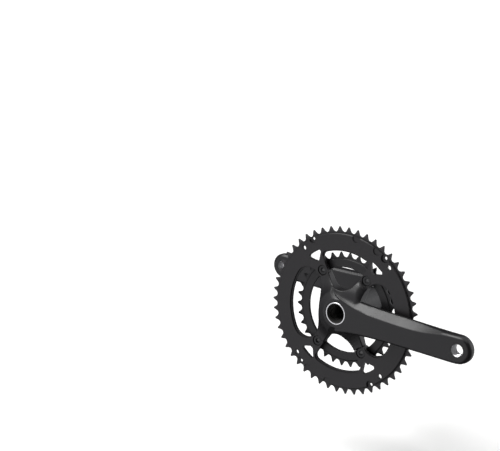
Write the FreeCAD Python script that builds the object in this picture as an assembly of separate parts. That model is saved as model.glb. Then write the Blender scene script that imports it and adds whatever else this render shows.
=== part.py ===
"""A two-piece road bicycle crankset: two crank arms, two chainrings, a hollow
spindle and the external-cup bottom bracket that it turns in.

Frame: the origin is on the spindle axis, in the middle plane of the bicycle.
+X runs along the right-hand crank arm, +Y points to the left of the bicycle
and +Z up.  The drive side is on -Y.  Distances "out" are measured from the
middle plane towards the side that a piece is on.
"""
import FreeCAD, Part
import math
import os

V = FreeCAD.Vector
RIGHT, LEFT = -1, 1
ORIGIN = V(0, 0, 0)
ALONG_Y = V(0, 1, 0)

# ---------------------------------------------------------------- sizes, mm
# whole crankset
crank_length = 170.0        # spindle axis to pedal axis
shell_width = 68.0          # bottom bracket shell that the cups screw into
shell_face_out = shell_width / 2
pedal_face_out = shell_face_out + 41.0      # outer face of each pedal boss

# spider and chainring bolts
bolt_circle = 110.0
spider_angle = 55.0         # from the crank arm to each spider arm, and mirrored
spider_half_width = 7.0
valley_long = 28.0          # from the axis to the edge between two close spider arms
valley_short = 27.0         # and between two spider arms that are far apart
lug_back_out = shell_face_out + 8.0
lug_front_out = lug_back_out + 4.0
tab_face_out = lug_front_out + 4.5
tab_before_bolt = 5.7       # from the straight joint of tab and spider arm to the bolt
tab_gap = 0.15

# hub of the right-hand arm
hub_face_out = tab_face_out + 12.8
hub_flat_radius = 17.5
hub_shoulder_radius = 27.0
hub_shoulder_drop = 3.4
spider_bevel_width = 11.0
spider_bevel_drop = 7.5
spider_face_proud = 0.7      # of the ring tabs, where the spider arms end
spider_back_land = 25.0      # flat back of the hub, and where its slope meets the lugs
spider_back_foot = 42.0
hub_skirt_radius = 24.0      # cone under the hub face
hub_skirt_out = hub_face_out - 6.3

# chain and teeth
chain_pitch = 12.7
roller_diameter = 7.75
tooth_above_pitch = 2.55
outer_teeth = 50
inner_teeth = 34
tooth_width = 2.1
tooth_tip_width = 1.0
tooth_tip_half = 0.75
tooth_thinning = 1.2        # the thinning starts this far outside the roller seats
roller_seat_half_angle = 64.0
tooth_plate_overlap = 6.0    # how far the tooth plate runs into the outer ring's rim
outer_plane_out = lug_front_out + 1.1
inner_plane_out = lug_back_out - 2.1

# outer chainring
rim_below_pitch = 5.43       # from the rollers' circle in to the plain rim
rim_edge_round = 0.9
rim_height = 19.7
window_lip = 2.0
window_lip_depth = 1.6
tab_fillet_long = 18.5
tab_fillet_short = 6.0
tab_flare = 2.4
gate_below_rim = 1.5        # round dishes in the rim, where the chain is guided across
gate_dish_radius = 5.4
gate_dish_depth = 2.2
gate_hole_diameter = 4.0
gate_turn = 4.0
plain_gate_angles = (117.0, 98.0)
plain_gate_depth = 1.2
tooling_hole_below_rim = 5.5
tooling_hole_diameter = 6.0
tooling_hole_turn = 7.0
slot_above_window = 3.2      # the slot's outer edge, and its inner corners
slot_below_window = 8.4
slot_half_angle = 8.8
slot_corner = 2.4

# inner chainring
inner_ring_bore = 52.8
inner_ring_thickness = 3.0
inner_tab_radius = 8.0
inner_tab_spread = 3.0
inner_band_edge = 1.5       # from the roller seats in to the plain band
inner_band_bevel = 1.2

# chainring fasteners
nut_sleeve_diameter = 10.0
nut_flange_diameter = 12.0
nut_flange_thickness = 1.7
ring_bolt_thread = 8.0
ring_bolt_head = 12.0
ring_bolt_head_thickness = 1.9
ring_bolt_recess = 12.8
ring_bolt_recess_depth = 2.9
ring_bolt_socket = 5.6
ring_bolt_grip = 1.5         # thread that reaches past the lug's back
nut_slot_half_width = 0.7
nut_slot_depth = 1.0
nut_short_of_head = 0.6
bolt_hole_clearance = 0.1

# pins on the outer chainring
shift_pin_below_rim = 6.7
shift_pin_shank = 2.6
shift_pin_depth = 2.6
shift_pin_head = 4.6
shift_pin_head_thickness = 1.4
drop_pin_below_rim = 4.7
drop_pin_diameter = 5.0
drop_pin_height = 2.6
drop_pin_shank = 3.0

# crank arms
pedal_thread_diameter = 14.28
pedal_boss_radius = 16.6
pedal_boss_thickness = 13.0
pedal_boss_bevel = 2.3
arm_root_below = 24.5        # reach of the arm below and above the spindle axis
arm_root_above = 23.5
arm_waist = 34.0             # how fast the root narrows to the pedal boss
arm_bevel_width = 9.4        # the broad bevel along the arm's upper front edge
arm_bevel_drop = 6.4
arm_shoulder = 2.2
arm_edge = 3.0
arm_root_back_out = lug_front_out + 0.6

# spindle
spindle_diameter = 24.0
spindle_bore = spindle_diameter - 5.0
spindle_end_diameter = spindle_diameter + 3.4
spindle_end_bore = spindle_end_diameter - 4.4
spindle_end_depth = 7.0
spindle_shoulder_out = shell_face_out + 13.0
spline_count = 16
spline_depth = 0.8
spline_clearance = 0.05

# left-hand arm
left_hub_face_out = shell_face_out + 32.0
left_root_back_out = shell_face_out + 16.0
spindle_short_of_face = 3.5
left_hub_radius = 20.0
clamp_reach = 27.5
clamp_half_height = 13.0
clamp_slot = 2.6
clamp_bolt_x = 19.6
clamp_bolt_inset = 5.2
pinch_bolt_thread = 5.0
pinch_bolt_head = 8.5
pinch_bolt_head_height = 4.6
pinch_bolt_socket = 4.0
pinch_seat = 6.4
pinch_thread_reach = 9.5
washer_thickness = 1.0
stopper_thickness = 2.2
stopper_pin_diameter = 2.0

# bottom bracket
cup_flange_radius = 22.0
cup_flange_width = 10.5
cup_thread_radius = 17.4
cup_thread_length = 12.0
cup_bore_radius = 15.2
cup_notches = 16
cup_notch_radius = 1.7
bearing_outer_radius = 18.5
bearing_bore_radius = 12.5
bearing_width = 7.0
bearing_inset = 0.4
ball_diameter = 3.5
ball_pitch_radius = 15.5
ball_count = 18
race_clearance = 0.05
race_wall = 1.85
cage_wall = 0.8
cage_width = 4.6
seal_thickness = 0.5
seal_gap = 0.25
bush_clearance = 0.03
bush_flange_thickness = 1.1
bush_flange_radius = 15.6
bush_flange_relief = 0.3
sleeve_wall = 2.0
sleeve_clearance = 0.05
sleeve_overlap = 8.0
ring_section = 1.4

# preload cap
cap_radius = 13.0
cap_clearance = 0.2
cap_rim_thickness = 2.0
cap_stem_length = 9.0
cap_stem_wall = 1.6
cap_notches = 8
cap_notch_radius = 1.3

# ---------------------------------------------------------------- worked out
bolt_radius = bolt_circle / 2
tab_step = bolt_radius - tab_before_bolt
rim_radius = chain_pitch / 2 / math.sin(math.pi / outer_teeth) - rim_below_pitch
window_radius = rim_radius - rim_height
gate_radius = rim_radius - gate_below_rim
tooling_hole_radius = rim_radius - tooling_hole_below_rim
slot_outer_radius = window_radius + slot_above_window
slot_inner_radius = window_radius - slot_below_window
shift_pin_radius = rim_radius - shift_pin_below_rim
drop_pin_radius = rim_radius - drop_pin_below_rim
spindle_left_end = left_hub_face_out - spindle_short_of_face
spider_angles = (spider_angle, 180 - spider_angle, 180 + spider_angle, 360 - spider_angle)
spindle_radius = spindle_diameter / 2
cup_face_out = shell_width / 2 + cup_flange_width
bearing_face_out = cup_face_out - bearing_inset
bearing_back_out = bearing_face_out - bearing_width
bearing_mid_out = bearing_face_out - bearing_width / 2
hub_back_out = bearing_face_out + bush_flange_thickness
bolt_seat_out = tab_face_out - ring_bolt_recess_depth
inner_tab_back_out = lug_back_out - inner_ring_thickness
BIG = 400.0


# ---------------------------------------------------------------- helpers
def positive(solid):
    """The same solid with its faces pointing outwards."""
    if solid.Volume < 0:
        solid.reverse()
    return solid


def at(radius, angle, y=0.0):
    """A point of the XZ plane, its angle counted from +X towards +Z."""
    turn = math.radians(angle)
    return V(radius * math.cos(turn), y, radius * math.sin(turn))


def beside(angle, along, across, y=0.0):
    """A point along a spoke at an angle, and across it towards larger angles."""
    turn = math.radians(angle)
    return V(along * math.cos(turn) - across * math.sin(turn), y,
             along * math.sin(turn) + across * math.cos(turn))


def spun(shape, angle):
    """A copy turned about the spindle axis, from +X towards +Z."""
    copy = shape.copy()
    copy.rotate(ORIGIN, V(0, -1, 0), angle)
    return copy


def line(start, end):
    return Part.makeLine(start, end)


def arc(start, middle, end):
    return Part.Arc(start, middle, end).toShape()


def plate(edges, out_a, out_b, side=RIGHT):
    """A closed outline in the XZ plane, given thickness along Y."""
    face = Part.Face(Part.Wire(edges))
    face.translate(V(0, side * out_a, 0))
    return positive(face.extrude(V(0, side * (out_b - out_a), 0)))


def turned(profile, side=RIGHT):
    """A profile of (radius, out) points, turned about the spindle axis."""
    points = [V(radius, side * out, 0) for radius, out in profile]
    face = Part.Face(Part.makePolygon(points + points[:1]))
    return positive(face.revolve(ORIGIN, ALONG_Y, 360))


def rod(radius, out_a, out_b, x=0.0, z=0.0, side=RIGHT):
    """A round bar parallel to the spindle axis."""
    low, high = sorted((side * out_a, side * out_b))
    return Part.makeCylinder(radius, high - low, V(x, low, z), ALONG_Y)


def rod_at(radius, place, out_a, out_b, side=RIGHT):
    return rod(radius, out_a, out_b, place.x, place.z, side)


def tidy(shape, refine=True):
    """One clean solid out of the result of cuts and unions."""
    solids = (shape.removeSplitter() if refine else shape).Solids
    return max(solids, key=lambda solid: solid.Volume)


def tube(outer, inner, out_a, out_b, side=RIGHT):
    low, high = sorted((out_a, out_b))
    return tidy(rod(outer, low, high, side=side).cut(rod(inner, low - 1, high + 1, side=side)))


def block(low, high):
    size = high - low
    return Part.makeBox(size.x, size.y, size.z, low)


def hexagon(across_flats, place, out_a, out_b, side=RIGHT):
    """A six-sided bar parallel to the spindle axis."""
    corner = across_flats / math.sqrt(3)
    points = [place + at(corner, 60 * step) for step in range(7)]
    return plate([line(a, b) for a, b in zip(points, points[1:])], out_a, out_b, side)


def save(name, shapes):
    """Writes one node: a solid, or several separate solids."""
    group = shapes if isinstance(shapes, list) else [shapes]
    for solid in group:
        if not solid.isValid() or solid.ShapeType != "Solid":
            raise ValueError(name + " is not a valid solid")
    shape = group[0] if len(group) == 1 else Part.makeCompound(group)
    shape.exportStep("parts/" + name + ".step")
    print(name, len(group), "solids", round(shape.Volume), "mm3")


def vertical_edges(solid, place, reach):
    """Edges parallel to the spindle axis near a point of the XZ plane."""
    found = []
    for edge in solid.Edges:
        a, b = edge.Vertexes[0].Point, edge.Vertexes[-1].Point
        upright = abs(a.x - b.x) < 1e-4 and abs(a.z - b.z) < 1e-4 and abs(a.y - b.y) > 0.2
        if upright and math.hypot(a.x - place.x, a.z - place.z) < reach:
            found.append(edge)
    return found


# ---------------------------------------------------------------- chainrings
def pitch_radius(teeth):
    return chain_pitch / 2 / math.sin(math.pi / teeth)


def tooth_outline(teeth):
    """Roller seats, straight flanks and short tips, all the way round."""
    seat = roller_diameter / 2 + 0.05
    pitch = pitch_radius(teeth)
    tip = pitch + tooth_above_pitch
    step = 360 / teeth
    tip_half = math.degrees(tooth_tip_half / tip)
    seat_along = pitch - seat * math.cos(math.radians(roller_seat_half_angle))
    seat_across = seat * math.sin(math.radians(roller_seat_half_angle))
    edges = []
    for tooth in range(teeth):
        middle = tooth * step
        seat_a = beside(middle, seat_along, -seat_across)
        seat_b = beside(middle, seat_along, seat_across)
        tip_a = at(tip, middle + step / 2 - tip_half)
        tip_b = at(tip, middle + step / 2 + tip_half)
        next_seat = beside(middle + step, seat_along, -seat_across)
        edges.append(arc(seat_a, at(pitch - seat, middle), seat_b))
        edges.append(line(seat_b, tip_a))
        edges.append(arc(tip_a, at(tip, middle + step / 2), tip_b))
        edges.append(line(tip_b, next_seat))
    return edges


def toothed_disc(teeth, plane_out):
    """The toothed plate, thinned towards the tips of its teeth."""
    pitch = pitch_radius(teeth)
    tip = pitch + tooth_above_pitch + 0.5
    shoulder = pitch - roller_diameter / 2 + tooth_thinning
    half, thin = tooth_width / 2, tooth_tip_width / 2
    blank = plate(tooth_outline(teeth), plane_out - half, plane_out + half)
    envelope = turned([(0, plane_out - half), (shoulder, plane_out - half), (tip, plane_out - thin),
                       (tip, plane_out + thin), (shoulder, plane_out + half), (0, plane_out + half)])
    return blank.common(envelope)


def tab_root(radius, fillet):
    """One side of a tab, as (along, across): its side line, and the round into the rim."""
    start = V(tab_step + tab_gap, spider_half_width, 0)
    run = V(radius - start.x, tab_flare, 0).normalize()
    normal = V(-run.y, run.x, 0)
    base = start + normal * fillet
    forward = base.dot(run)
    slide = -forward + math.sqrt(forward ** 2 - base.dot(base) + (radius - fillet) ** 2)
    centre = base + run * slide
    leave = start + run * slide
    meet = centre * (radius / centre.Length)
    halfway = centre + ((leave - centre) + (meet - centre)).normalize() * fillet
    return start, leave, halfway, meet


def window_outline(radius):
    """The inner edge of the chainring: rim, rounded tab roots and straight tab ends."""
    edges = []
    for index, angle in enumerate(spider_angles):
        following = spider_angles[(index + 1) % 4]
        before, after = (tab_fillet_long, tab_fillet_short)[::1 if index % 2 == 0 else -1]
        near, far = tab_root(radius, before), tab_root(radius, after)
        near = [beside(angle, point.x, -point.y) for point in near]
        far = [beside(angle, point.x, point.y) for point in far]
        next_root = beside(following, tab_root(radius, after)[3].x, -tab_root(radius, after)[3].y)
        middle = (angle + (following if following > angle else following + 360)) / 2
        edges += [arc(near[3], near[2], near[1]), line(near[1], near[0]), line(near[0], far[0]),
                  line(far[0], far[1]), arc(far[1], far[2], far[3]),
                  arc(far[3], at(radius, middle), next_root)]
    return edges


def rim_with_tabs(radius, out_a, out_b):
    """The chainring without teeth: a rim, and four tabs that reach the spider."""
    return rod(rim_radius, out_a, out_b).cut(plate(window_outline(radius), out_a - 1, out_b + 1))


def tab_slot(angle):
    """The rounded three-sided opening between a tab's two roots."""
    corners = [at(slot_outer_radius, angle - slot_half_angle), at(slot_outer_radius, angle + slot_half_angle),
               beside(angle, slot_inner_radius, 2.0), beside(angle, slot_inner_radius, -2.0)]
    edges = [arc(corners[0], at(slot_outer_radius, angle), corners[1])]
    edges += [line(a, b) for a, b in zip(corners[1:], corners[2:] + corners[:1])]
    slot = plate(edges, lug_front_out - 2, tab_face_out + 2)
    rounded = [edge for corner in corners[:2] for edge in vertical_edges(slot, corner, 0.1)]
    return slot.makeFillet(slot_corner, rounded)


def plain_gates():
    """Angles of the dishes without a hole; the two halves of the ring are alike."""
    return [half_turn - angle for angle in plain_gate_angles for half_turn in (0, 180)]


def outer_chainring():
    front = rim_with_tabs(window_radius, tab_face_out - window_lip_depth, tab_face_out)
    back = rim_with_tabs(window_radius - window_lip, lug_front_out, tab_face_out - window_lip_depth)
    rim_trim = turned([(rim_radius - rim_edge_round, tab_face_out + 1), (rim_radius + 1, tab_face_out + 1),
                       (rim_radius + 1, tab_face_out - rim_edge_round - 1),
                       (rim_radius, tab_face_out - rim_edge_round),
                       (rim_radius - rim_edge_round, tab_face_out)])
    teeth = toothed_disc(outer_teeth, outer_plane_out)
    teeth = teeth.cut(rod(rim_radius - tooth_plate_overlap, 0, BIG))
    ring = back.fuse([front, teeth]).cut(rim_trim)
    cuts = []
    for angle in spider_angles:
        bolt = at(bolt_radius, angle)
        cuts.append(rod_at(nut_sleeve_diameter / 2 + bolt_hole_clearance, bolt, 0, BIG))
        cuts.append(rod_at(ring_bolt_recess / 2, bolt, bolt_seat_out, BIG))
        cuts.append(tab_slot(angle))
        leading = angle in (spider_angle, 180 + spider_angle)
        hole = at(tooling_hole_radius, angle + (-1 if leading else 1) * tooling_hole_turn)
        cuts.append(rod_at(tooling_hole_diameter / 2, hole, 0, BIG))
        gate = at(gate_radius, angle if leading else angle - gate_turn)
        cuts.append(rod_at(gate_hole_diameter / 2, gate, 0, BIG))
        cuts.append(rod_at(gate_dish_radius, gate, tab_face_out - gate_dish_depth, BIG))
    for angle in plain_gates():
        cuts.append(rod_at(gate_dish_radius, at(gate_radius, angle), tab_face_out - plain_gate_depth, BIG))
        pin = at(shift_pin_radius, angle)
        cuts.append(rod_at(shift_pin_shank / 2, pin, 0, lug_front_out + shift_pin_depth))
    cuts.append(rod(drop_pin_shank / 2, 0, BIG, drop_pin_radius))
    return tidy(ring.cut(cuts))


def inner_chainring():
    """Tabs, a plain band and the teeth, all behind the spider lugs."""
    band_radius = pitch_radius(inner_teeth) - roller_diameter / 2 - inner_band_edge
    plane_half = tooth_width / 2
    disc = toothed_disc(inner_teeth, inner_plane_out)
    shoulder = turned([(inner_ring_bore, inner_plane_out - plane_half), (inner_ring_bore, lug_back_out - 0.4),
                       (inner_ring_bore + 0.4, lug_back_out), (band_radius - inner_band_bevel, lug_back_out),
                       (band_radius, inner_plane_out + plane_half),
                       (band_radius, inner_plane_out - plane_half)])
    pads = []
    for angle in spider_angles:
        bolt = at(bolt_radius, angle)
        pad = rod_at(inner_tab_radius, bolt, inner_tab_back_out, lug_back_out)
        root = inner_tab_radius + inner_tab_spread
        corners = [beside(angle, bolt_radius, -inner_tab_radius), beside(angle, band_radius - 1, -root),
                   beside(angle, band_radius - 1, root), beside(angle, bolt_radius, inner_tab_radius)]
        closed = corners + corners[:1]
        wedge = plate([line(a, b) for a, b in zip(closed, closed[1:])], inner_tab_back_out, lug_back_out)
        pads += [pad, wedge]
    ring = disc.cut(rod(inner_ring_bore, 0, BIG)).fuse([shoulder] + pads)
    cuts = []
    for angle in spider_angles:
        bolt = at(bolt_radius, angle)
        cuts.append(rod_at(nut_sleeve_diameter / 2 + bolt_hole_clearance, bolt, 0, BIG))
        cuts.append(rod_at(nut_flange_diameter / 2 + bolt_hole_clearance, bolt, 0, inner_tab_back_out))
    return tidy(ring.cut(cuts))


def chainring_bolts():
    """Hollow bolts, screwed into the sleeve nuts from the front."""
    bolts = []
    for angle in spider_angles:
        place = at(bolt_radius, angle)
        head = rod_at(ring_bolt_head / 2, place, bolt_seat_out, bolt_seat_out + ring_bolt_head_thickness)
        rim = max(head.Edges, key=lambda edge: -edge.CenterOfMass.y)
        head = head.makeFillet(0.6, [rim])
        shank = rod_at(ring_bolt_thread / 2, place, lug_back_out - ring_bolt_grip, bolt_seat_out)
        socket = hexagon(ring_bolt_socket, place, 0, BIG)
        bolts.append(tidy(head.fuse(shank).cut(socket)))
    return bolts


def chainring_nuts():
    """Sleeve nuts with a flange behind the inner chainring and a cross slot."""
    nuts = []
    for angle in spider_angles:
        place = at(bolt_radius, angle)
        back = inner_tab_back_out - nut_flange_thickness
        flange = rod_at(nut_flange_diameter / 2, place, back, inner_tab_back_out)
        sleeve = rod_at(nut_sleeve_diameter / 2, place, inner_tab_back_out,
                        bolt_seat_out - nut_short_of_head)
        bore = rod_at(ring_bolt_thread / 2, place, 0, BIG)
        slot = block(V(-BIG, -back - nut_slot_depth, -nut_slot_half_width),
                     V(BIG, -back + 1, nut_slot_half_width))
        slot = spun(slot, angle + 90)
        slot.translate(place)
        nuts.append(tidy(flange.fuse(sleeve).cut([bore, slot])))
    return nuts


def shift_pins():
    """Steel pins pressed into the back of the ring, which lift the chain."""
    pins = []
    for angle in plain_gates():
        place = at(shift_pin_radius, angle)
        shank = rod_at(shift_pin_shank / 2, place, lug_front_out, lug_front_out + shift_pin_depth)
        head = rod_at(shift_pin_head / 2, place, lug_front_out - shift_pin_head_thickness, lug_front_out)
        pins.append(tidy(shank.fuse(head)))
    return pins


def chain_drop_pin():
    """The stud that keeps a dropped chain from wedging behind the crank arm."""
    shank = rod(drop_pin_shank / 2, lug_front_out, tab_face_out, drop_pin_radius)
    stud = rod(drop_pin_diameter / 2, tab_face_out, tab_face_out + drop_pin_height, drop_pin_radius)
    rim = max(stud.Edges, key=lambda edge: -edge.CenterOfMass.y)
    return tidy(stud.makeFillet(0.7, [rim]).fuse(shank))


# ---------------------------------------------------------------- crank arms
def eased(x, start, end):
    """0 before start, 1 after end, and a smooth change between."""
    share = min(1.0, max(0.0, (x - start) / (end - start)))
    return share * share * (3 - 2 * share)


def arm_section(x, hub_face, root_back, side, direction, flip):
    """The arm's cross section at a distance from the spindle axis."""
    fade = eased(x, 0.62 * crank_length, 0.97 * crank_length)
    run = min(1.0, max(0.0, (x - 10) / (crank_length - 20)))
    narrowing = math.exp(-x / arm_waist)
    bottom = -pedal_boss_radius - (arm_root_below - pedal_boss_radius) * narrowing
    top = pedal_boss_radius + (arm_root_above - pedal_boss_radius) * narrowing
    front = hub_face - 0.4 + (pedal_face_out - hub_face + 0.4) * run
    pedal_back = pedal_face_out - pedal_boss_thickness
    back = root_back + (pedal_back - root_back) * run
    width = arm_bevel_width + (pedal_boss_bevel - arm_bevel_width) * fade
    drop = arm_bevel_drop + (pedal_boss_bevel - arm_bevel_drop) * fade
    shoulder = arm_shoulder + (0.2 - arm_shoulder) * fade
    outline = [(bottom + arm_edge, back), (bottom, back + arm_edge), (bottom, front - pedal_boss_bevel),
               (bottom + pedal_boss_bevel, front), (top - width, front), (top - shoulder, front - drop),
               (top, front - drop - shoulder), (top, back + arm_edge), (top - arm_edge, back)]
    points = [V(direction * x, side * out, flip * z) for z, out in outline]
    return Part.makePolygon(points + points[:1])


def arm_blade(hub_face, root_back, side, direction, flip):
    """The arm from the spindle axis to its rounded pedal boss."""
    stations = [crank_length * step / 7 for step in range(8)]
    wires = [arm_section(x, hub_face, root_back, side, direction, flip) for x in stations]
    blade = positive(Part.makeLoft(wires, True, False))
    back = pedal_face_out - pedal_boss_thickness
    boss = turned([(0, back), (pedal_boss_radius - arm_edge, back), (pedal_boss_radius, back + arm_edge),
                   (pedal_boss_radius, pedal_face_out - pedal_boss_bevel),
                   (pedal_boss_radius - pedal_boss_bevel, pedal_face_out), (0, pedal_face_out)], side)
    boss.translate(V(direction * crank_length, 0, 0))
    return blade, boss


def valley_centre():
    """Where the curved edge between two close spider arms has its centre."""
    return (valley_long - spider_half_width) / (1 - math.cos(math.radians(spider_angle)))


def spider_outline():
    """Four arms with rounded ends, joined by the curved valleys between them."""
    half = spider_half_width
    tangent = valley_centre() * math.sin(math.radians(spider_angle))
    edges = []
    for index, angle in enumerate(spider_angles):
        following = spider_angles[(index + 1) % 4]
        middle = (angle + (following if following > angle else following + 360)) / 2
        edges.append(arc(beside(angle, bolt_radius, -half), at(bolt_radius + half, angle),
                         beside(angle, bolt_radius, half)))
        close_pair = index % 2 == 0
        along = tangent if close_pair else tab_step
        valley = valley_long if close_pair else valley_short
        leave, arrive = beside(angle, along, half), beside(following, along, -half)
        edges.append(line(beside(angle, bolt_radius, half), leave))
        edges.append(arc(leave, at(valley, middle), arrive))
        edges.append(line(arrive, beside(following, bolt_radius, -half)))
    return edges


def spider():
    """The star that carries the chainrings, falling away from the hub face."""
    star = plate(spider_outline(), lug_back_out, hub_face_out)
    for up in (-1, 1):
        radius = valley_centre() - valley_long
        bevel = Part.makeCone(radius, radius + spider_bevel_width, spider_bevel_drop,
                              V(0, spider_bevel_drop - hub_face_out, up * valley_centre()), -ALONG_Y)
        star = star.cut(bevel)
    arm_face = tab_face_out + spider_face_proud
    lug_end = bolt_radius + spider_half_width + 1
    shoulder = hub_face_out - hub_shoulder_drop
    slope = [(hub_shoulder_radius + (tab_step - hub_shoulder_radius) * share,
              arm_face + (shoulder - arm_face) * (1 - share) ** 1.8)
             for share in (0, 0.15, 0.3, 0.45, 0.6, 0.8, 1)]
    envelope = turned([(0, hub_back_out), (spider_back_land, hub_back_out), (spider_back_foot, lug_back_out),
                       (lug_end, lug_back_out), (lug_end, arm_face)] + slope[::-1]
                      + [(hub_flat_radius, hub_face_out), (0, hub_face_out)])
    star = star.common(envelope)
    steps = []
    for angle in spider_angles:
        step = block(V(tab_step, -BIG, -30), V(BIG, -lug_front_out, 30))
        steps.append(spun(step, angle))
    return star.cut(steps)


def right_crank_arm():
    blade, boss = arm_blade(hub_face_out, arm_root_back_out, RIGHT, 1, 1)
    hub = turned([(0, hub_back_out), (hub_skirt_radius, hub_back_out), (hub_skirt_radius, hub_skirt_out),
                  (hub_flat_radius, hub_face_out), (0, hub_face_out)])
    body = spider().fuse([hub, blade, boss])
    cuts = [rod(spindle_end_diameter / 2, 0, BIG),
            rod(pedal_thread_diameter / 2, 0, BIG, crank_length)]
    for angle in spider_angles:
        bolt = at(bolt_radius, angle)
        cuts.append(rod_at(nut_sleeve_diameter / 2 + bolt_hole_clearance, bolt, 0, BIG))
        cuts.append(rod_at(ring_bolt_recess / 2, bolt, bolt_seat_out, BIG))
    return tidy(body.cut(cuts), refine=False)


def spline_keys(width, inner, outer, out_a, out_b):
    """Straight keys round the spindle's left end."""
    key = block(V(inner, out_a, -width / 2), V(outer, out_b, width / 2))
    return [spun(key, 360 * (index + 0.5) / spline_count) for index in range(spline_count)]


def left_crank_arm():
    face, back = left_hub_face_out, hub_back_out
    blade, boss = arm_blade(face, left_root_back_out, LEFT, -1, -1)
    hub = rod(left_hub_radius, back, face, side=LEFT)
    corner = clamp_reach - 6
    clamp = plate([line(V(0, 0, -clamp_half_height), V(corner, 0, -clamp_half_height)),
                   arc(V(corner, 0, -clamp_half_height), V(clamp_reach, 0, 0),
                       V(corner, 0, clamp_half_height)),
                   line(V(corner, 0, clamp_half_height), V(0, 0, clamp_half_height)),
                   line(V(0, 0, clamp_half_height), V(0, 0, -clamp_half_height))], back, face, LEFT)
    body = hub.fuse([clamp, blade, boss])
    groove = 2 * math.pi * spindle_radius / spline_count / 2
    bore = rod(spindle_radius + spline_clearance, 0, BIG, side=LEFT)
    keys = spline_keys(groove - 2 * spline_clearance, spindle_radius - spline_depth + spline_clearance,
                       spindle_radius + 1, back + 2, spindle_left_end)
    cuts = [bore.cut(keys),
            rod(cap_radius + cap_clearance, face - cap_rim_thickness, BIG, side=LEFT),
            rod(pedal_thread_diameter / 2, 0, BIG, -crank_length, side=LEFT),
            block(V(10, back - 1, -clamp_slot / 2), V(BIG, face + 1, clamp_slot / 2))]
    for place, up in pinch_places():
        cuts.append(upright(pinch_bolt_head / 2 + 0.25, place, up, pinch_seat, BIG))
        cuts.append(upright(pinch_bolt_thread / 2 + 0.15, place, up, 0, pinch_seat + 1))
        cuts.append(upright(pinch_bolt_thread / 2, place, up, -pinch_thread_reach - 1, 0))
    return tidy(body.cut(cuts), refine=False)


# ---------------------------------------------------------------- left clamp
def pinch_places():
    """The two clamp bolts, with their heads on opposite sides."""
    return [(V(clamp_bolt_x, hub_back_out + clamp_bolt_inset, 0), 1),
            (V(clamp_bolt_x, left_hub_face_out - clamp_bolt_inset, 0), -1)]


def upright(radius, place, up, from_z, to_z):
    """A round bar parallel to Z, between two heights measured towards a bolt's head."""
    low, high = sorted((up * from_z, up * to_z))
    return Part.makeCylinder(radius, high - low, V(place.x, place.y, low), V(0, 0, 1))


def pinch_bolts():
    bolts = []
    seat = pinch_seat + washer_thickness
    for place, up in pinch_places():
        head = upright(pinch_bolt_head / 2, place, up, seat, seat + pinch_bolt_head_height)
        shank = upright(pinch_bolt_thread / 2, place, up, -pinch_thread_reach, seat)
        key = hexagon(pinch_bolt_socket, ORIGIN, 0, 3.0, LEFT)
        key.rotate(ORIGIN, V(1, 0, 0), 90)
        depth = seat + pinch_bolt_head_height - 2.4
        key.translate(V(place.x, place.y, depth if up > 0 else -depth - 3.0))
        bolts.append(tidy(head.fuse(shank).cut(key)))
    return bolts


def pinch_bolt_washers():
    washers = []
    for place, up in pinch_places():
        disc = upright(pinch_bolt_head / 2, place, up, pinch_seat, pinch_seat + washer_thickness)
        washers.append(tidy(disc.cut(upright(pinch_bolt_thread / 2 + 0.1, place, up, 0, BIG))))
    return washers


def stopper_plate():
    """The plate in the clamp slot, whose pin reaches into the spindle."""
    half = stopper_thickness / 2
    middle = (hub_back_out + left_hub_face_out) / 2
    plate_body = block(V(spindle_radius + 0.8, hub_back_out + 1.2, -half),
                       V(clamp_reach - 1.5, left_hub_face_out - 3.0, half))
    pin = Part.makeCylinder(stopper_pin_diameter / 2, 4, V(spindle_radius - 2, middle, 0), V(1, 0, 0))
    holes = [upright(pinch_bolt_thread / 2 + 0.2, place, up, -BIG, BIG) for place, up in pinch_places()]
    return tidy(plate_body.fuse(pin).cut(holes))


def preload_cap():
    """The cap that sets the bearing preload, screwed into the spindle's left end."""
    face = left_hub_face_out
    stem = spindle_bore / 2 - 0.05
    bore = stem - cap_stem_wall
    under = face - cap_rim_thickness
    cap = turned([(bore, under - cap_stem_length), (stem, under - cap_stem_length), (stem, under),
                  (cap_radius, under), (cap_radius, face - 0.5), (cap_radius - 0.5, face), (bore, face)],
                 LEFT)
    notches = [rod_at(cap_notch_radius, at(bore + 0.4, 360 * index / cap_notches), under - 3, BIG, LEFT)
               for index in range(cap_notches)]
    return tidy(cap.cut(notches))


# ---------------------------------------------------------------- spindle
def spindle():
    """A steel tube: pressed into the right-hand arm, splined for the left-hand one."""
    big, small = spindle_end_diameter / 2, spindle_radius
    inside, mouth = spindle_bore / 2, spindle_end_bore / 2
    cone = hub_face_out - spindle_end_depth
    tube_body = turned([(inside, -spindle_left_end), (small - 0.5, -spindle_left_end),
                        (small, -spindle_left_end + 0.5), (small, spindle_shoulder_out),
                        (big, spindle_shoulder_out), (big, hub_face_out - 0.3), (big - 0.3, hub_face_out),
                        (mouth + 0.3, hub_face_out), (mouth, hub_face_out - 0.3), (mouth, cone),
                        (inside, cone - 6)])
    groove = math.pi * spindle_diameter / spline_count / 2
    grooves = spline_keys(groove, small - spline_depth, small + 1, hub_back_out + 1.5, spindle_left_end + 1)
    middle = (hub_back_out + left_hub_face_out) / 2
    pin_hole = Part.makeCylinder(stopper_pin_diameter / 2 + 0.4, small, V(0, middle, 0), V(1, 0, 0))
    return tidy(tube_body.cut(grooves + [pin_hole]))


def spindle_o_ring():
    section = (spindle_end_diameter - spindle_diameter) / 4 - 0.1
    middle = (spindle_shoulder_out + hub_back_out) / 2
    return Part.makeTorus(spindle_radius + 0.1 + section, section, V(0, -middle, 0), ALONG_Y)


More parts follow.
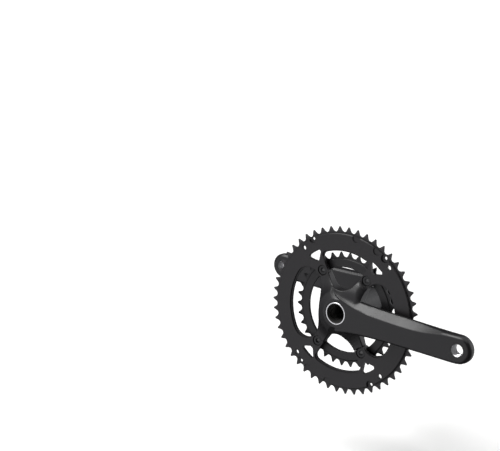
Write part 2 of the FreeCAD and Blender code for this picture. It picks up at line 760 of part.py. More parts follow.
# ---------------------------------------------------------------- bottom bracket
def cup(side):
    """A threaded cup that holds one bearing outside the shell."""
    shell = shell_width / 2
    inner_end = shell - cup_thread_length
    body = turned([(cup_bore_radius, inner_end), (cup_thread_radius - 0.8, inner_end),
                   (cup_thread_radius, inner_end + 0.8), (cup_thread_radius, shell),
                   (cup_flange_radius - 0.4, shell),
                   (cup_flange_radius, shell + 0.4), (cup_flange_radius, cup_face_out - 1),
                   (cup_flange_radius - 1, cup_face_out), (bearing_outer_radius, cup_face_out),
                   (bearing_outer_radius, bearing_back_out),
                   (bearing_outer_radius - race_wall, bearing_back_out),
                   (bearing_outer_radius - race_wall, bearing_back_out - 1),
                   (cup_bore_radius, bearing_back_out - 2)], side)
    notches = [rod_at(cup_notch_radius, at(cup_flange_radius + 0.5, 360 * index / cup_notches),
                      shell + 2, BIG, side) for index in range(cup_notches)]
    return tidy(body.cut(notches))


def bearing_centre(side):
    return V(0, side * bearing_mid_out, 0)


def race_track(side):
    groove_radius = ball_diameter / 2 + race_clearance
    return Part.makeTorus(ball_pitch_radius, groove_radius, bearing_centre(side), ALONG_Y)


def outer_race(side):
    ring = tube(bearing_outer_radius, bearing_outer_radius - race_wall,
                bearing_back_out, bearing_face_out, side)
    return tidy(ring.cut(race_track(side)))


def inner_race(side):
    ring = tube(bearing_bore_radius + race_wall, bearing_bore_radius,
                bearing_back_out, bearing_face_out, side)
    return tidy(ring.cut(race_track(side)))


def ball_places(side):
    return [at(ball_pitch_radius, 360 * index / ball_count, side * bearing_mid_out)
            for index in range(ball_count)]


def bearing_balls(side):
    return [Part.makeSphere(ball_diameter / 2, place) for place in ball_places(side)]


def ball_cage(side):
    """A thin ring with a pocket for each ball."""
    half = cage_width / 2
    ring = tube(ball_pitch_radius + cage_wall / 2, ball_pitch_radius - cage_wall / 2,
                bearing_mid_out - half, bearing_mid_out + half, side)
    centre = bearing_centre(side)
    pockets = [Part.makeCylinder(ball_diameter / 2 + race_clearance, bearing_outer_radius,
                                 centre, place - centre) for place in ball_places(side)]
    return tidy(ring.cut(pockets))


def bearing_seals(side):
    """The two shields that close a bearing, held in its outer race."""
    inner, outer = bearing_bore_radius + race_wall + seal_gap, bearing_outer_radius - race_wall
    return [tube(outer, inner, bearing_face_out - seal_thickness, bearing_face_out, side),
            tube(outer, inner, bearing_back_out, bearing_back_out + seal_thickness, side)]


def bearing_bush(side):
    """The plastic sleeve between spindle and bearing, with a flange outside."""
    inner = spindle_radius + bush_clearance
    relief = bearing_face_out + bush_flange_relief
    land = bearing_bore_radius + race_wall - 0.2
    return turned([(inner, bearing_back_out), (bearing_bore_radius, bearing_back_out),
                   (bearing_bore_radius, bearing_face_out), (land, bearing_face_out), (land, relief),
                   (bush_flange_radius, relief), (bush_flange_radius, hub_back_out),
                   (inner, hub_back_out)], side)


def sleeve_outer():
    return cup_bore_radius - sleeve_clearance


def sleeve_ring_out():
    return shell_width / 2 - cup_thread_length + sleeve_overlap / 2


def inner_sleeve():
    """The tube that joins the two cups and keeps water out of the bearings."""
    reach = shell_width / 2 - cup_thread_length + sleeve_overlap
    outer = sleeve_outer()
    ring_out = sleeve_ring_out()
    half = ring_section / 2 + 0.1
    body = tube(outer, outer - sleeve_wall, -reach, reach)
    grooves = [tube(outer + 1, cup_bore_radius - ring_section, ring_out - half, ring_out + half, side)
               for side in (RIGHT, LEFT)]
    return tidy(body.cut(grooves))


def sleeve_o_rings():
    radius = cup_bore_radius - ring_section / 2
    return [Part.makeTorus(radius, ring_section / 2, V(0, side * sleeve_ring_out(), 0), ALONG_Y)
            for side in (RIGHT, LEFT)]


# ---------------------------------------------------------------- all nodes
def build():
    os.makedirs("parts", exist_ok=True)
    save("right_crank_arm", right_crank_arm())
    save("left_crank_arm", left_crank_arm())
    save("outer_chainring", outer_chainring())
    save("inner_chainring", inner_chainring())
    save("chainring_bolts", chainring_bolts())
    save("chainring_nuts", chainring_nuts())
    save("shift_pins", shift_pins())
    save("chain_drop_pin", chain_drop_pin())
    save("spindle", spindle())
    save("spindle_o_ring", spindle_o_ring())
    save("pinch_bolts", pinch_bolts())
    save("pinch_bolt_washers", pinch_bolt_washers())
    save("stopper_plate", stopper_plate())
    save("preload_cap", preload_cap())
    save("inner_sleeve", inner_sleeve())
    save("sleeve_o_rings", sleeve_o_rings())
    for name, side in (("right", RIGHT), ("left", LEFT)):
        save(name + "_cup", cup(side))
        save(name + "_bearing_outer_race", outer_race(side))
        save(name + "_bearing_inner_race", inner_race(side))
        save(name + "_bearing_balls", bearing_balls(side))
        save(name + "_ball_cage", ball_cage(side))
        save(name + "_bearing_seals", bearing_seals(side))
        save(name + "_bearing_bush", bearing_bush(side))


build()
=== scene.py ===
# %% [markdown]
# # A two-piece bicycle crankset
#
# The crankset is two forged arms on a hollow spindle, two chainrings and the
# bottom bracket that it all turns in.  The engineering model is already made:
# every part is a closed solid at its true size.  This script gives those parts
# their finish, and models again the few whose shape a milling cutter or a forging
# die softens.  It starts by loading the solids, so that each new piece can take
# its place and size from them.

# %% Load the frame
import bmesh
import bpy
import math
import numpy
from mathutils import Matrix, Vector


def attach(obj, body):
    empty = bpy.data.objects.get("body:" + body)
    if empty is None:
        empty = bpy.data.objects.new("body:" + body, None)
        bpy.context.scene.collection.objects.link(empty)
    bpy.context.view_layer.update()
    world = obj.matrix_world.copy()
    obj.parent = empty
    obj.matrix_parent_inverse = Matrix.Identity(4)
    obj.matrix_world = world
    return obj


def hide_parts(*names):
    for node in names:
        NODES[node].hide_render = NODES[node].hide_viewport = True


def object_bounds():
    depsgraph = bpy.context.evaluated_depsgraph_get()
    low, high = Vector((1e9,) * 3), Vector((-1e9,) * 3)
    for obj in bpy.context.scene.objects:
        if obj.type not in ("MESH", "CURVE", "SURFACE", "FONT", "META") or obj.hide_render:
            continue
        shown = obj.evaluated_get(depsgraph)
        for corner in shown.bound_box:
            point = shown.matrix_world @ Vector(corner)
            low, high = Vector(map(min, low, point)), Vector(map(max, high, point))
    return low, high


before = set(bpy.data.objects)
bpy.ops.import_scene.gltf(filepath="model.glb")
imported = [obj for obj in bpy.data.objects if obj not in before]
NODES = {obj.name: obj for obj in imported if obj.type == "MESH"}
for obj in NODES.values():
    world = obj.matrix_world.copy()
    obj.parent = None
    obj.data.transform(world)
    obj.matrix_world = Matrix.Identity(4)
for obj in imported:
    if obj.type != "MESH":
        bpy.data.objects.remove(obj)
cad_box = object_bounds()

MM = 0.001
print("whole crankset, mm:", [round((high - low) / MM, 1) for low, high in zip(*cad_box)])

# %% [markdown]
# ## Camera, floor and light
#
# The camera looks at the drive side, from in front of the bicycle and a little
# above the spindle.  A camera can be placed by hand, but here its bearing, height
# and distance are numbers, so the view can be changed one step at a time.  The
# small roll is there because the right-hand arm, which lies along X, slopes down.

# %% Camera
VIEW_BEARING = math.radians(36.857)
VIEW_HEIGHT = math.radians(13.381)
VIEW_ROLL = math.radians(3.352)
VIEW_DISTANCE = 1.59908
AIM = Vector((-0.18258, 0, 0.06405))
SENSOR_WIDTH = 36
LENS = 1217.675 / 500 * SENSOR_WIDTH


def place_camera():
    """A camera on a sphere round the aim point, turned by its roll."""
    back = Vector((math.sin(VIEW_BEARING) * math.cos(VIEW_HEIGHT),
                   -math.cos(VIEW_BEARING) * math.cos(VIEW_HEIGHT), math.sin(VIEW_HEIGHT)))
    right = Vector((0, 0, 1)).cross(back).normalized()
    up = back.cross(right)
    rolled_right = right * math.cos(VIEW_ROLL) + up * math.sin(VIEW_ROLL)
    rolled_up = up * math.cos(VIEW_ROLL) - right * math.sin(VIEW_ROLL)
    data = bpy.data.cameras.new("studio_camera")
    data.sensor_width = SENSOR_WIDTH
    data.lens = LENS
    data.clip_start, data.clip_end = 0.05, 50
    camera = bpy.data.objects.new("studio_camera", data)
    turn = Matrix((rolled_right, rolled_up, back)).transposed().to_4x4()
    camera.matrix_world = Matrix.Translation(AIM + back * VIEW_DISTANCE) @ turn
    bpy.context.scene.collection.objects.link(camera)
    bpy.context.scene.camera = camera
    print("camera stands at, mm:", [round(c / MM) for c in camera.location])


place_camera()

# %% [markdown]
# A black part is mostly what it reflects, so the light is planned from the
# reflections.  Lamps at a finite distance would leave the far floor dark, and a
# curved paper wall would be needed behind.  Here the lamps are suns with a wide
# spread, which are soft boxes at infinity: they light the whole floor evenly.  The
# strongest stands where the broad upper bevel of the arm mirrors it, and a narrow
# one picks out the crest.  The flat front faces mirror a glow in the air, low in
# front.  Everything else mirrors dim air, which keeps black metal black.  The floor
# itself is left out of reflections, because white paper would turn the metal grey.
#
# The crankset is held by its bottom bracket, so the floor lies lower than the
# longest arm reaches when it turns.

# %% Floor and lights
FLOOR_GAP = 3 * MM
FLOOR_Z = min(cad_box[0][2], cad_box[0][0]) - FLOOR_GAP
FLOOR_RADIUS = 60.0
GLOW_STARTS, GLOW_FULL = 0.55, 0.97


def studio_floor(z):
    """A wide round floor, as one face."""
    mesh = bmesh.new()
    bmesh.ops.create_circle(mesh, cap_ends=True, radius=FLOOR_RADIUS, segments=96)
    bmesh.ops.translate(mesh, verts=mesh.verts, vec=(0, 0, z))
    data = bpy.data.meshes.new("studio_floor")
    mesh.to_mesh(data)
    mesh.free()
    floor = bpy.data.objects.new("studio_floor", data)
    bpy.context.scene.collection.objects.link(floor)
    floor.visible_glossy = False
    return floor


def sun(name, stands, strength, spread):
    """A soft lamp at infinity, which shines from a direction."""
    lamp = bpy.data.lights.new(name, "SUN")
    lamp.energy = strength
    lamp.angle = math.radians(spread)
    thing = bpy.data.objects.new(name, lamp)
    thing.rotation_euler = (-Vector(stands)).to_track_quat("-Z", "Y").to_euler()
    bpy.context.scene.collection.objects.link(thing)


def studio_air(dim, bright, glow_from, seen):
    """Dim air with two broad glows, in front and behind; the camera itself sees it pale."""
    world = bpy.data.worlds.new("studio_air")
    world.use_nodes = True
    nodes, links = world.node_tree.nodes, world.node_tree.links
    place = nodes.new("ShaderNodeTexCoord")
    along = nodes.new("ShaderNodeVectorMath")
    along.operation = "DOT_PRODUCT"
    along.inputs[1].default_value = Vector(glow_from).normalized()
    either_way = nodes.new("ShaderNodeMath")
    either_way.operation = "ABSOLUTE"
    glow = nodes.new("ShaderNodeMapRange")
    glow.interpolation_type = "SMOOTHSTEP"
    for socket, value in (("From Min", GLOW_STARTS), ("From Max", GLOW_FULL),
                          ("To Min", dim), ("To Max", bright)):
        glow.inputs[socket].default_value = value
    path = nodes.new("ShaderNodeLightPath")
    strength = nodes.new("ShaderNodeMix")
    strength.inputs[3].default_value = seen
    links.new(place.outputs["Generated"], along.inputs[0])
    links.new(along.outputs["Value"], either_way.inputs[0])
    links.new(either_way.outputs[0], glow.inputs["Value"])
    links.new(path.outputs["Is Camera Ray"], strength.inputs[0])
    links.new(glow.outputs[0], strength.inputs[2])
    links.new(strength.outputs[0], nodes["Background"].inputs["Strength"])
    nodes["Background"].inputs["Color"].default_value = (0.97, 0.97, 1, 1)
    bpy.context.scene.world = world


floor = studio_floor(FLOOR_Z)
sun("bevel_sun", (-0.42, -0.41, 0.81), 2.7, 32)
sun("crest_sun", (-0.55, -0.72, 0.42), 0.42, 20)
sun("sky_sun", (0.1, 0.1, 1.0), 1.2, 60)
sun("rear_sun", (0.8, 0.55, 0.35), 0.5, 45)
studio_air(0.08, 1.1, (-0.45, -0.86, -0.12), 0.93)
bpy.context.scene.view_settings.view_transform = "Standard"
print("floor at z, mm:", round(FLOOR_Z / MM, 1))

# %% [markdown]
# ## Shader maths as Python
#
# Every finish here is made of nodes: numbers that vary over the surface, worked
# out from the place on the part.  Wiring them by hand takes a page per finish.
# The class below wraps one output socket, so that `1 - mask * 0.5` makes the two
# Math nodes that it says.  Any other node comes from `Finish.node`.

# %% Sockets that do arithmetic
class Flow:
    """One output socket of a material, which Python's operators work on."""

    def __init__(self, finish, socket):
        self.finish = finish
        self.socket = socket

    def math(self, operation, *terms):
        return self.finish.node("ShaderNodeMath", {"operation": operation}, dict(enumerate(terms)))

    def __add__(self, other):
        return self.math("ADD", self, other)

    __radd__ = __add__

    def __sub__(self, other):
        return self.math("SUBTRACT", self, other)

    def __rsub__(self, other):
        return self.math("SUBTRACT", other, self)

    def __mul__(self, other):
        return self.math("MULTIPLY", self, other)

    __rmul__ = __mul__

    def __gt__(self, other):
        return self.math("GREATER_THAN", self, other)

    def __lt__(self, other):
        return self.math("LESS_THAN", self, other)


class Finish:
    """A material under construction: a Principled shader and what feeds it."""

    def __init__(self, name, colour, roughness, metallic=0.0, **fixed):
        self.material = bpy.data.materials.new(name)
        self.material.use_nodes = True
        self.tree = self.material.node_tree
        self.shader = self.tree.nodes["Principled BSDF"]
        self.material.diffuse_color = (*colour, 1)
        self.set(base_color=(*colour, 1), roughness=roughness, metallic=metallic, **fixed)
        self.place = self.node("ShaderNodeTexCoord", out="Object")

    def set(self, **sockets):
        """Gives the shader's sockets a value, or a Flow that varies over the part."""
        for name, value in sockets.items():
            self.feed(self.shader.inputs[name.replace("_", " ").title().replace("Ior", "IOR")], value)

    def feed(self, socket, value):
        if isinstance(value, Flow):
            self.tree.links.new(value.socket, socket)
        else:
            socket.default_value = value

    def node(self, kind, settings=None, inputs=None, out=0):
        """One node: its settings first, then its sockets, by name or number."""
        made = self.tree.nodes.new(kind)
        for key, value in (settings or {}).items():
            setattr(made, key, value)
        for key, value in (inputs or {}).items():
            self.feed(made.inputs[key], value)
        return Flow(self, made.outputs[out])

    def parts(self):
        """The place on the part, as three numbers in metres."""
        split = self.node("ShaderNodeSeparateXYZ", inputs={0: self.place}).socket.node
        return [Flow(self, split.outputs[index]) for index in range(3)]

    def cloud(self, scale, detail=2.0, roughness=0.5, place=None):
        """Smooth noise from 0 to 1; its blobs are about 1 / scale metres wide."""
        inputs = {"Vector": place or self.place, "Scale": scale, "Detail": detail, "Roughness": roughness}
        return self.node("ShaderNodeTexNoise", inputs=inputs)

    def ramp(self, share, low, high):
        """0 below low, 1 above high, and a straight line between."""
        inputs = {"Value": share, "From Min": low, "From Max": high}
        return self.node("ShaderNodeMapRange", {"clamp": True}, inputs)

    def mixed(self, share, colour_a, colour_b):
        """One colour changing into another."""
        inputs = {0: share, 6: colour_a, 7: colour_b}
        return self.node("ShaderNodeMix", {"data_type": "RGBA"}, inputs, out=2)

    def bump(self, height, distance, strength):
        """Feeds a height, in metres when multiplied by distance, to the normal."""
        inputs = {"Height": height, "Distance": distance, "Strength": strength}
        self.set(normal=self.node("ShaderNodeBump", inputs=inputs))


def dress(material, *names):
    """Gives engineering parts a finish in every material slot they have."""
    for name in names:
        mesh = NODES[name].data
        mesh.materials.clear()
        mesh.materials.append(material)
    print(material.name, "on:", ", ".join(names))


# %% [markdown]
# ## Floor paper
# Plain pale paper, a touch warm, with the faintest mottling, so that a shadow on
# it reads as lying on something.

# %% Floor finish
def paper():
    finish = Finish("studio_paper", (0.90, 0.90, 0.89), 0.75)
    finish.set(base_color=finish.mixed(finish.cloud(6.0), (0.89, 0.89, 0.88, 1), (0.92, 0.92, 0.91, 1)))
    return finish.material


floor.data.materials.append(paper())
print(floor.data.materials[0].name, "on:", floor.name)

# %% [markdown]
# ## Satin black anodising
#
# The arms are forged aluminium, blasted with fine beads and then anodised black.
# Blasting leaves dimples a few hundredths of a millimetre across: too small to see
# one by one, but they break up reflections into a soft sheen.  A single roughness
# value gives the sheen without life.  So the roughness drifts slowly over the part,
# a fine bump stands for the dimples, and worn rims show a little more grey.

# %% Anodised finishes
def anodised(name, colour, roughness, edge=0.0, teeth_from=0):
    finish = Finish(name, colour, roughness, 0.0, specular_ior_level=0.34)
    drift = finish.cloud(45.0, 4.0, 0.6)
    pores = finish.cloud(5200.0, 2.0, 0.6)
    handled = finish.ramp(finish.cloud(160.0, 5.0, 0.7), 0.62, 0.80)
    rim = 0.0
    if edge:
        rim = finish.ramp(finish.node("ShaderNodeNewGeometry", out="Pointiness"), 0.53, 0.62) * edge
    if teeth_from:
        x, y, z = finish.parts()
        toothed = finish.ramp(x * x + z * z, teeth_from**2, (teeth_from + 3 * MM) ** 2)
        rim = toothed * finish.ramp(finish.cloud(900.0, 3.0, 0.7), 0.35, 0.65)
    lighter = tuple(channel * 2.0 + 0.008 for channel in colour)
    finish.set(base_color=finish.mixed(rim + handled * 0.15, (*colour, 1), (*lighter, 1)),
               roughness=roughness + (drift - 0.5) * 0.14 + handled * 0.06 - rim * 0.10)
    finish.bump(pores + drift * 0.5, 0.000012, 0.6)
    return finish.material


arm_black = anodised("arm_black", (0.0062, 0.0058, 0.0066), 0.33, edge=0.5)
ring_black = anodised("ring_black", (0.0092, 0.0082, 0.0092), 0.42, teeth_from=97 * MM)
inner_ring_black = anodised("inner_ring_black", (0.0062, 0.0058, 0.0064), 0.40, teeth_from=65 * MM)
cup_black = anodised("cup_black", (0.004, 0.004, 0.0045), 0.34, edge=0.5)
dress(arm_black, "right_crank_arm", "left_crank_arm")
dress(ring_black, "outer_chainring")
dress(inner_ring_black, "inner_chainring")
dress(cup_black, "right_cup", "left_cup")

# %% [markdown]
# ## Steel
# The spindle is drawn steel.  Its drive-side end is turned and polished, and shows
# as the bright ring in the hub; a thin lip inside it and the whole bore are coloured
# near black.  The bearings are ground brighter still.  Turning marks are noise squeezed
# along the axis, so that each becomes a thin groove round the part.

# %% Steel finishes
LIP = 0.9 * MM
LIP_STARTS = -60 * MM
BORE_DARK_COLOUR = (0.02, 0.019, 0.018, 1)


def steel(name, colour, roughness, marks=0.10, bore=0):
    finish = Finish(name, colour, roughness, 1.0)
    x, y, z = finish.parts()
    stretched = finish.node("ShaderNodeCombineXYZ", inputs={0: x * 40, 1: y * 4000, 2: z * 40})
    grooves = finish.cloud(1.0, 3.0, 0.7, stretched)
    finish.set(roughness=roughness + grooves * marks)
    if bore:
        # inside the bore, and in a 0.9 mm band round its mouth at the drive-side end, the colour turns
        # near black, rougher and not metallic
        lip = (y < LIP_STARTS) * (LIP * (LIP + 2 * bore))
        hollow = (x * x + z * z) < lip + bore * bore
        finish.set(base_color=finish.mixed(hollow, (*colour, 1), BORE_DARK_COLOUR),
                   roughness=roughness + grooves * marks + hollow * 0.35, metallic=1 - hollow)
    finish.bump(grooves, 0.000004, 0.5)
    return finish.material


spindle_steel = steel("spindle_steel", (0.74, 0.74, 0.75), 0.34, bore=11.55 * MM)
bearing_steel = steel("bearing_steel", (0.70, 0.70, 0.72), 0.10, 0.05)
bolt_black = anodised("bolt_black", (0.0035, 0.0035, 0.004), 0.22)
dress(spindle_steel, "spindle")
dress(bearing_steel, *[side + "_bearing_" + piece for side in ("right", "left")
                       for piece in ("outer_race", "inner_race", "balls")])
dress(steel("pin_steel", (0.45, 0.45, 0.46), 0.3), "shift_pins", "chain_drop_pin")
dress(bolt_black, "chainring_bolts", "chainring_nuts", "pinch_bolts", "pinch_bolt_washers")


# %% [markdown]
# ## Plastics and rubber
# Moulded pieces copy the skin of their mould.  One finish serves them all: a slow
# drift in roughness, and a fine grain as bump.  Only colour and gloss differ from
# the bushes to the rubber O-rings.

# %% Plastics and rubber
def moulded(name, colour, roughness):
    finish = Finish(name, colour, roughness, specular_ior_level=0.45)
    grain = finish.cloud(2600.0, 3.0, 0.6)
    finish.set(roughness=roughness + (finish.cloud(90.0) - 0.5) * 0.16)
    finish.bump(grain, 0.00002, 0.7)
    return finish.material


dress(moulded("ring_rubber", (0.012, 0.012, 0.012), 0.62), "spindle_o_ring", "sleeve_o_rings")
dress(moulded("seal_rubber", (0.010, 0.010, 0.011), 0.55), "right_bearing_seals", "left_bearing_seals")
dress(moulded("cage_polymer", (0.30, 0.25, 0.17), 0.45), "right_ball_cage", "left_ball_cage")
dress(moulded("sleeve_polymer", (0.015, 0.015, 0.016), 0.48), "inner_sleeve")
dress(moulded("bush_polymer", (0.020, 0.020, 0.021), 0.42), "right_bearing_bush", "left_bearing_bush")
dress(moulded("cap_polymer", (0.012, 0.012, 0.013), 0.40), "preload_cap", "stopper_plate")

# %% [markdown]
# ## The forged arms
#
# A forging die cannot make sharp inside corners, and the forging is then blasted
# and polished, so a real arm has soft creases where the engineering solid has
# facets.  It could be modelled with subdivision surfaces, with a cage of a few
# dozen faces.  Here the solid itself is the clay: it is cut into small voxels,
# and each point of its front is moved along the spindle's direction to a height
# that is worked out from where it lies.  The outline, the back and the holes stay
# where the solid has them, to within a voxel.
#
# The shape has one leading line, a crest.  It comes down the right-hand edge of
# one spider arm, sweeps over the hub and runs out along the crank arm.  Above the
# crest the metal falls away as a broad bevel, which is the lit band that makes
# the arm look slim.

# %% Crest and heights of the arm's front
CLAY = 0.0006
CRANK = 170.0
BOSS = 16.6
CREST = [(-30.0, 54.0, 51.0), (-22.5, 44.2, 51.2), (-16.6, 37.0, 53.6), (-11.4, 31.5, 56.4),
         (-7.6, 26.4, 59.2), (-3.2, 22.4, 61.4), (3.0, 19.2, 62.7), (11.8, 15.9, 63.3),
         (23.1, 12.5, 63.9), (34.4, 10.7, 64.8), (47.4, 9.6, 65.9), (75.0, 8.6, 68.2),
         (109.5, 7.9, 70.9), (122.0, 8.6, 71.9), (135.0, 10.2, 73.0), (148.0, 12.0, 74.0),
         (170.0, 12.6, 74.8), (178.9, 8.9, 74.9), (182.6, 0.0, 74.9), (178.9, -8.9, 74.9)]
HIGH = 999


def along_crest(points, count):
    """Evenly spaced points on a smooth line through the given ones."""
    points = numpy.array(points)
    reach = numpy.concatenate([[0], numpy.cumsum(numpy.linalg.norm(numpy.diff(points, axis=0), axis=1))])
    slopes = numpy.gradient(points, reach, axis=0)
    wanted = numpy.linspace(0, reach[-1], count)
    index = numpy.clip(numpy.searchsorted(reach, wanted) - 1, 0, len(points) - 2)
    span = (reach[index + 1] - reach[index])[:, None]
    t = (wanted - reach[index])[:, None] / span
    start, end = points[index], points[index + 1]
    bend_a, bend_b = slopes[index] * span, slopes[index + 1] * span
    return ((2 * t**3 - 3 * t**2 + 1) * start + (t**3 - 2 * t**2 + t) * bend_a
            + (3 * t**2 - 2 * t**3) * end + (t**3 - t**2) * bend_b)


def rise(value, low, high):
    """0 up to low, 1 from high, and a smooth step between."""
    share = numpy.clip((value - low) / (high - low), 0, 1)
    return share * share * (3 - 2 * share)


def softer_of(a, b, width):
    """The larger of two heights, with their crossing rounded off."""
    return (a + b + numpy.sqrt((a - b) ** 2 + width**2)) / 2


def front_plane(x, hub_face):
    """The flat of the arm, which climbs from the hub to the pedal."""
    return hub_face - 0.4 + (75.4 - hub_face) * numpy.clip((x - 10) / 150, 0, 1)


def top_edge(x):
    return BOSS + (23.5 - BOSS) * numpy.exp(-x / 34)


def bottom_edge(x):
    return -BOSS - (24.5 - BOSS) * numpy.exp(-x / 34)


def nearest_on_crest(crest, x, z):
    """For each point: which crest point is nearest, and how far above it lies."""
    spots = numpy.stack([x, z], axis=1)
    pick = numpy.empty(len(x), dtype=int)
    for start in range(0, len(x), 20000):
        chunk = spots[start:start + 20000]
        pick[start:start + 20000] = ((chunk[:, None] - crest[None, :, :2]) ** 2).sum(axis=2).argmin(axis=1)
    heading = numpy.gradient(crest[:, :2], axis=0)[pick]
    offset = spots - crest[pick, :2]
    side = numpy.sign(heading[:, 0] * offset[:, 1] - heading[:, 1] * offset[:, 0])
    return pick, side * numpy.linalg.norm(offset, axis=1)


crest_line = along_crest(CREST, 500)
print("crest points:", len(crest_line), " length, mm:",
      round(float(numpy.linalg.norm(numpy.diff(crest_line, axis=0), axis=1).sum())))


# %% [markdown]
# The carving takes three steps.  A Remesh modifier turns the solid into even voxels,
# the heights move the points of its front, and a second remesh with a little
# smoothing evens out the faces that the move has stretched.  Sculpting by hand
# would give the same shape, but these heights can be changed and run again.

# %% Carve the front
def clay_from(name):
    """A copy of an engineering part, cut into even little faces."""
    clay = bpy.data.objects.new(name + "_clay", NODES[name].data.copy())
    bpy.context.scene.collection.objects.link(clay)
    return reclay(clay)


def reclay(clay, smoothing=0):
    """Remeshes an object evenly, then relaxes its creases."""
    remesh = clay.modifiers.new("remesh", "REMESH")
    remesh.mode = "VOXEL"
    remesh.voxel_size = CLAY
    if smoothing:
        relax = clay.modifiers.new("relax", "SMOOTH")
        relax.factor, relax.iterations = 0.5, smoothing
    view = bpy.context.evaluated_depsgraph_get()
    view.update()
    mesh = bpy.data.meshes.new_from_object(clay.evaluated_get(view))
    clay.modifiers.clear()
    clay.data = mesh
    return clay


def carve(clay, side, direction, hub_face, crest, spider_face, keep_from, crest_from):
    """Moves the points of the front to the carved heights."""
    mesh = clay.data
    count = len(mesh.vertices)
    place, normal = numpy.empty(count * 3), numpy.empty(count * 3)
    mesh.vertices.foreach_get("co", place)
    mesh.vertices.foreach_get("normal", normal)
    place, normal = place.reshape(-1, 3), normal.reshape(-1, 3)
    x = place[:, 0] / MM * direction
    z = place[:, 2] / MM * direction
    out = place[:, 1] / MM * side
    facing = normal[:, 1] * side
    pick, above = nearest_on_crest(crest, x, z)
    height = crest[pick, 2]
    flat = front_plane(x, hub_face)
    # left of the crest the hub and the arm become one flat
    lift = (above <= 0) & (x > keep_from) & (facing > 0.35) & (z > -6) & (above > -12) & (x < 60)
    out = numpy.where(lift, numpy.maximum(out, flat - 0.15 * rise(-above, 6, 12)), out)
    # above the crest the bevel falls away, to the spider's face near the hub
    steep = 1.7 - 0.7 * rise(x, 6, 26) - 0.25 * rise(x, 25, 50) - 0.5 * rise(x, 125, 160)
    bevel = height - steep * (numpy.sqrt(numpy.maximum(above, 0) ** 2 + 0.5) - 0.7)
    reach = numpy.hypot(x, z)
    falls = bevel
    if spider_face:
        crown = 8 * (1 - numpy.clip((z - 22) / 20, 0, 1) ** 2) * (1 - rise(x, 22, 40))
        falls = softer_of(bevel, spider_face + crown, 3.0)
    # the upper edge is rounded off, and the lower one less
    from_top = numpy.where(x < CRANK, top_edge(x) - z, BOSS - numpy.hypot(x - CRANK, z))
    from_bottom = numpy.where(x < CRANK, z - bottom_edge(x), BOSS - numpy.hypot(x - CRANK, z))
    top_round = 3.0 + 1.2 * rise(x, 100, 150)
    unrounded = numpy.where(above > 0, falls, flat)
    for edge, radius in ((from_top, top_round), (from_bottom, 2.8)):
        inside = numpy.clip(radius - edge, 0, radius)
        drop = (radius - numpy.sqrt(radius**2 - inside**2)) * 1.15 * rise(x, 30, 60)
        falls = numpy.minimum(falls, numpy.where(edge < radius, unrounded - drop, HIGH))
    limit = numpy.where(((above > 0) | (x > 40)) & (x > crest_from), falls, HIGH)
    out = numpy.minimum(out, limit)
    # between the crest and the spider's face the hollow is filled to one sweep
    if spider_face:
        swept = (above > 0) & (facing > -0.3) & (x < 54) & (z > 0) & (out > spider_face - 3)
        share = (1 - rise(x, 30, 52)) * (1 - rise(reach, 45, 48.5) * rise(z, 14, 22))
        out = numpy.where(swept, out + (falls - out) * share, out)
    place[:, 1] = out * side * MM
    mesh.vertices.foreach_set("co", place.reshape(-1))
    mesh.update()
    return clay


# %% [markdown]
# Both arms are carved by the same steps.  The right one has the spider, which the
# bevel falls to; the left one has only its crest, out along the arm.  Each takes
# the place of its engineering part and rides on the crank.

# %% Two sculpted arms
def sculpted_arm(name, side, direction, hub_face, crest, spider_face, keep_from, crest_from):
    """The forged arm, in the place of its engineering part."""
    clay = carve(clay_from(name), side, direction, hub_face, crest, spider_face, keep_from,
                 crest_from)
    reclay(clay, 3)
    clay.name = name + "_forged"
    clay.data.name = name + "_forged"
    for polygon in clay.data.polygons:
        polygon.use_smooth = True
    clay.data.materials.clear()
    clay.data.materials.append(arm_black)
    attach(clay, "crank")
    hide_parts(name)
    print(clay.name, "faces:", len(clay.data.polygons))


sculpted_arm("right_crank_arm", -1, 1, 63.3, crest_line, 51.2, 8, -100)
left_crest = crest_line[crest_line[:, 0] > 24].copy()
left_crest[:, 2] = front_plane(left_crest[:, 0], 66.0)
sculpted_arm("left_crank_arm", 1, -1, 66.0, left_crest, 0, 24, 26)

# %% [markdown]
# ## Turned pieces with threads
#
# Pedal axles screw into a steel-hard thread cut straight into the aluminium, which
# is why the hole is bare metal in a black arm.  The cups of the bottom bracket
# carry the same kind of thread outside.  A thread can be made by sweeping a
# triangle along a helix.  Here it is one grid wrapped round an axis, whose radius
# goes up and down with both the angle and the distance along the axis: one turn
# round moves the wave on by exactly one pitch, and that is a helix.

# %% A lathe that also cuts threads
SHARP_ANGLE = 35


def wave(turns):
    """A triangle wave between 0 and 1, with narrow flats."""
    return min(1.0, max(0.0, abs(turns % 1.0 * 2 - 1) * 1.3 - 0.15))


def lathe(name, rows, columns, shape, centre=(0, 0), side=-1):
    """A closed ring of rows (radius, out), with each radius passed through shape."""
    mesh = bmesh.new()
    rings = []
    for radius, out in rows:
        ring = []
        for column in range(columns):
            angle = 2 * math.pi * column / columns
            reach = shape(radius, out, angle)
            spot = (centre[0] + reach * math.cos(angle), side * out, centre[1] + reach * math.sin(angle))
            ring.append(mesh.verts.new(Vector(spot) * MM))
        rings.append(ring)
    for ring, following in zip(rings, rings[1:] + rings[:1]):
        for column in range(columns):
            after = (column + 1) % columns
            mesh.faces.new((ring[column], ring[after], following[after], following[column])).smooth = True
    bmesh.ops.recalc_face_normals(mesh, faces=mesh.faces)
    data = bpy.data.meshes.new(name)
    mesh.to_mesh(data)
    mesh.free()
    thing = bpy.data.objects.new(name, data)
    bpy.context.scene.collection.objects.link(thing)
    return thing


def finished(thing, material, body, slot, *nodes):
    """Gives a made piece its finish, its body and the parts that it stands for."""
    thing.data.materials.append(material)
    thing.data.set_sharp_from_angle(angle=math.radians(SHARP_ANGLE))
    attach(thing, body)
    if nodes:
        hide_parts(*nodes)
    print(thing.name, "faces:", len(thing.data.polygons))


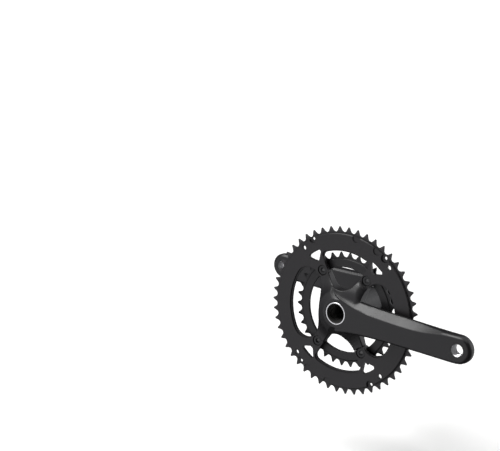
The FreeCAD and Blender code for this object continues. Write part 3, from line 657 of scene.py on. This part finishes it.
# %% Pedal threads
PEDAL_PITCH = 1.27
PEDAL_DEPTH = 0.62
bare_aluminium = steel("bare_aluminium", (0.78, 0.78, 0.79), 0.24)


def pedal_thread(name, side, direction):
    """The cut thread of a pedal hole, with a bare chamfer at both mouths."""
    inner, wall = 7.14, 7.45
    back, face = 62.08, 74.92
    steps = 96
    threaded = [(inner, back + 0.5 + (face - back - 1.0) * step / steps) for step in range(steps + 1)]
    rows = [(wall, back), *threaded, (wall, face), (wall + 0.12, face - 0.3), (wall + 0.12, back + 0.3)]

    def shape(radius, out, angle):
        if radius != inner:
            return radius
        run_in = min(1.0, (out - back) / 1.4, (face - out) / 1.4)
        return inner - PEDAL_DEPTH * run_in * wave(out / PEDAL_PITCH + angle / (2 * math.pi))

    thing = lathe(name, rows, 96, shape, (direction * CRANK, 0), side)
    finished(thing, bare_aluminium, "crank", "arm_black")


pedal_thread("right_pedal_thread_cut", -1, 1)
pedal_thread("left_pedal_thread_cut", 1, -1)

# %% [markdown]
# The cups screw into the frame and hold the bearings.  The same lathe turns them:
# their outline goes round as rows, the screw end gets the helix, and sixteen
# rounded notches for the spanner are cut where the flange meets the tool.

# %% Bottom bracket cups
CUP_PITCH = 25.4 / 24
CUP_THREAD_RADIUS, CUP_THREAD_DEPTH = 17.4, 0.5
CUP_THREAD_FROM, CUP_THREAD_TO, CUP_THREAD_LENGTH = 22.8, 33.7, 10.9
NOTCHES, NOTCH_RADIUS, NOTCH_CENTRE = 16, 1.7, 22.5
CUP_ROWS = [(21.6, 34.0), (22.0, 34.4), (22.0, 35.95), (22.0, 36.05), (22.0, 43.5),
            (21.75, 44.1), (21.2, 44.45), (20.9, 44.5), (18.5, 44.5), (18.5, 37.1),
            (16.65, 37.1), (16.65, 36.1), (15.2, 35.1), (15.2, 22.0), (16.6, 22.0)]


def cup(name, side):
    """A cup: screw thread, flange with tool notches, and the bearing's seat."""
    steps = 104
    threaded = [(CUP_THREAD_RADIUS, CUP_THREAD_FROM + CUP_THREAD_LENGTH * step / steps)
                for step in range(steps + 1)]

    def shape(radius, out, angle):
        if radius == CUP_THREAD_RADIUS:
            run_in = max(0.0, min(1.0, (out - CUP_THREAD_FROM) / 1.2, (CUP_THREAD_TO - out) / 0.6))
            return radius - CUP_THREAD_DEPTH * run_in * wave(out / CUP_PITCH - angle / (2 * math.pi))
        if radius > 20.5 and out > 36:
            step = 2 * math.pi / NOTCHES
            off = NOTCH_CENTRE * math.sin((angle + step / 2) % step - step / 2)
            if abs(off) < NOTCH_RADIUS:
                notch = (NOTCH_CENTRE * math.cos((angle + step / 2) % step - step / 2)
                         - math.sqrt(NOTCH_RADIUS**2 - off**2))
                return min(radius, notch)
        return radius

    rows = CUP_ROWS + threaded
    thing = lathe(name + "_turned", rows, 384, shape, (0, 0), side)
    finished(thing, cup_black, "bottom_bracket", "cup_black", name)


cup("right_cup", -1)
cup("left_cup", 1)

# %% [markdown]
# ## Eased edges
# A milled ring has its sharp edges broken, and that thin strip is what catches the
# light round every tooth.  A Bevel modifier makes it.  The engineering mesh comes
# with its faces unjoined, so a Weld modifier closes them first.  The arms need no
# bevel, because the carving has already rounded them.

# %% Edges
EASED = 0.25 * MM


def eased(name, width):
    """Rounds the sharp edges of an engineering part very slightly."""
    part = NODES[name]
    weld = part.modifiers.new("weld", "WELD")
    weld.merge_threshold = 0.005 * MM
    bevel = part.modifiers.new("eased_edges", "BEVEL")
    bevel.width, bevel.segments = width, 2
    bevel.limit_method, bevel.angle_limit = "ANGLE", math.radians(SHARP_ANGLE)
    bevel.harden_normals = True
    print(name, "triangles before:", len(part.data.polygons))


for name in ("outer_chainring", "inner_chainring"):
    eased(name, EASED)
